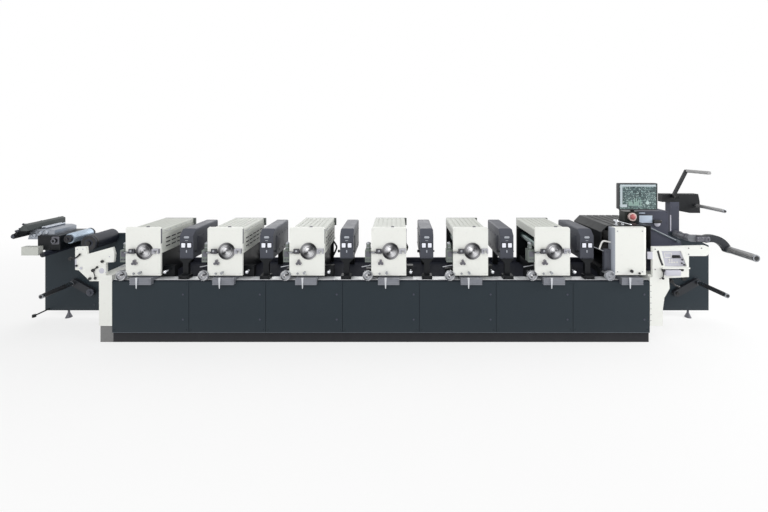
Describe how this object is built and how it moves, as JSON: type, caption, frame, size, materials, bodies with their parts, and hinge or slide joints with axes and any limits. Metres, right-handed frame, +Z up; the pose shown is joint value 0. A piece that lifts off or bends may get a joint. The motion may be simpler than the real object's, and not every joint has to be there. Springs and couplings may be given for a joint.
{
  "type": "narrow web label printing press",
  "caption": "In-line narrow web printing press with print units, dryers, a die station, and unwind and rewind mandrels on a long closed base.",
  "frame": {"origin": "on the floor, under the middle of the long base", "axes": "+X along the web from the unwind to the rewind, +Y from the operator's side to the back, +Z up"},
  "size_m": [8.337, 0.76, 1.85],
  "materials": {
    "black_metal": "black oxide and satin paint",
    "bright_steel": "ground steel",
    "button_red": "moulded plastic",
    "chrome": "polished",
    "dark_panel": "satin textured paint",
    "dryer_metal": "satin anodised grey",
    "grey_panel": "satin paint",
    "hood_metal": "satin paint",
    "roller_metal": "turned and anodised",
    "roller_rubber": "smooth rubber",
    "screen_case": "matt moulded plastic",
    "white_panel": "satin paint"
  },
  "bodies": {
    "press": {"adjuster_knobs": "chrome", "base_cabinet": "dark_panel", "bearing_rings": "black_metal", "console": "dark_panel", "control_desk": "grey_panel", "deck_rail": "bright_steel", "die_cover": "white_panel", "die_frame": "black_metal", "die_hood": "black_metal", "die_rollers": "roller_rubber", "dryer_heads": "dryer_metal", "dryer_stems": "dryer_metal", "foot_pedal": "black_metal", "front_panels": "dark_panel", "guide_block": "bright_steel", "guide_box": "black_metal", "handwheels": "chrome", "infeed_plate": "white_panel", "infeed_rollers": "roller_metal", "ink_trays": "bright_steel", "left_column": "white_panel", "levelling_feet": "black_metal", "mandrel_arms": "black_metal", "outfeed_deck": "dark_panel", "outfeed_plate": "white_panel", "plinth": "grey_panel", "rear_beam": "black_metal", "rear_panels": "dark_panel", "rewind_arm": "black_metal", "rewind_column": "black_metal", "rewind_head": "black_metal", "rewind_plate": "dark_panel", "right_column": "white_panel", "screen_stem": "screen_case", "side_boxes": "hood_metal", "slide_bars": "bright_steel", "splice_table": "black_metal", "stop_box": "black_metal", "stop_button": "button_red", "tray_levers": "bright_steel", "unit_bases": "black_metal", "unit_front_plates": "white_panel", "unit_hoods": "hood_metal", "unit_rear_plates": "dryer_metal", "unit_rollers": "roller_rubber", "unwind_plate": "dark_panel", "web_flap": "hood_metal"},
    "unwind_mandrel": {"unwind_mandrel": "black_metal"},
    "lower_mandrel": {"lower_mandrel": "black_metal"},
    "rewind_mandrel": {"rewind_mandrel": "roller_metal"},
    "waste_mandrel": {"waste_mandrel": "roller_metal"},
    "rider_arm": {"rider_arm": "black_metal"},
    "screen": {"screen": "screen_case"},
    "print_cylinder_1": {"print_cylinder_1": "bright_steel"},
    "print_cylinder_2": {"print_cylinder_2": "bright_steel"},
    "print_cylinder_3": {"print_cylinder_3": "bright_steel"},
    "print_cylinder_4": {"print_cylinder_4": "bright_steel"},
    "print_cylinder_5": {"print_cylinder_5": "bright_steel"},
    "print_cylinder_6": {"print_cylinder_6": "bright_steel"}
  },
  "joints": [
    {"name": "unwind_spin", "type": "hinge", "parent": "press", "child": "unwind_mandrel", "pos_m": [-3.83, 0, 0.446], "axis": [0, 1, 0], "continuous": true},
    {"name": "lower_rewind_spin", "type": "hinge", "parent": "press", "child": "lower_mandrel", "pos_m": [3.89, 0, 0.455], "axis": [0, 1, 0], "continuous": true},
    {"name": "rewind_spin", "type": "hinge", "parent": "press", "child": "rewind_mandrel", "pos_m": [4.08, 0, 0.92], "axis": [0, 1, 0], "continuous": true},
    {"name": "waste_spin", "type": "hinge", "parent": "press", "child": "waste_mandrel", "pos_m": [3.895, 0, 1.4], "axis": [0, 1, 0], "continuous": true},
    {"name": "rider_swing", "type": "hinge", "parent": "press", "child": "rider_arm", "pos_m": [3.604, 0.225, 1.512], "axis": [0, 1, 0], "range_deg": [-20, 60]},
    {"name": "screen_swivel", "type": "hinge", "parent": "press", "child": "screen", "pos_m": [2.96, 0.01, 1.405], "axis": [0, 0, 1], "range_deg": [-40, 40]},
    {"name": "print_spin_1", "type": "hinge", "parent": "press", "child": "print_cylinder_1", "pos_m": [-2.567, 0, 1], "axis": [0, 1, 0], "continuous": true},
    {"name": "print_spin_2", "type": "hinge", "parent": "press", "child": "print_cylinder_2", "pos_m": [-1.677, 0, 1], "axis": [0, 1, 0], "continuous": true},
    {"name": "print_spin_3", "type": "hinge", "parent": "press", "child": "print_cylinder_3", "pos_m": [-0.787, 0, 1], "axis": [0, 1, 0], "continuous": true},
    {"name": "print_spin_4", "type": "hinge", "parent": "press", "child": "print_cylinder_4", "pos_m": [0.103, 0, 1], "axis": [0, 1, 0], "continuous": true},
    {"name": "print_spin_5", "type": "hinge", "parent": "press", "child": "print_cylinder_5", "pos_m": [0.993, 0, 1], "axis": [0, 1, 0], "continuous": true},
    {"name": "print_spin_6", "type": "hinge", "parent": "press", "child": "print_cylinder_6", "pos_m": [1.883, 0, 1], "axis": [0, 1, 0], "continuous": true}
  ],
  "couplings": [
    {"joint": "print_spin_2", "follows": "print_spin_1", "ratio": 1},
    {"joint": "print_spin_3", "follows": "print_spin_1", "ratio": 1},
    {"joint": "print_spin_4", "follows": "print_spin_1", "ratio": 1},
    {"joint": "print_spin_5", "follows": "print_spin_1", "ratio": 1},
    {"joint": "print_spin_6", "follows": "print_spin_1", "ratio": 1}
  ]
}
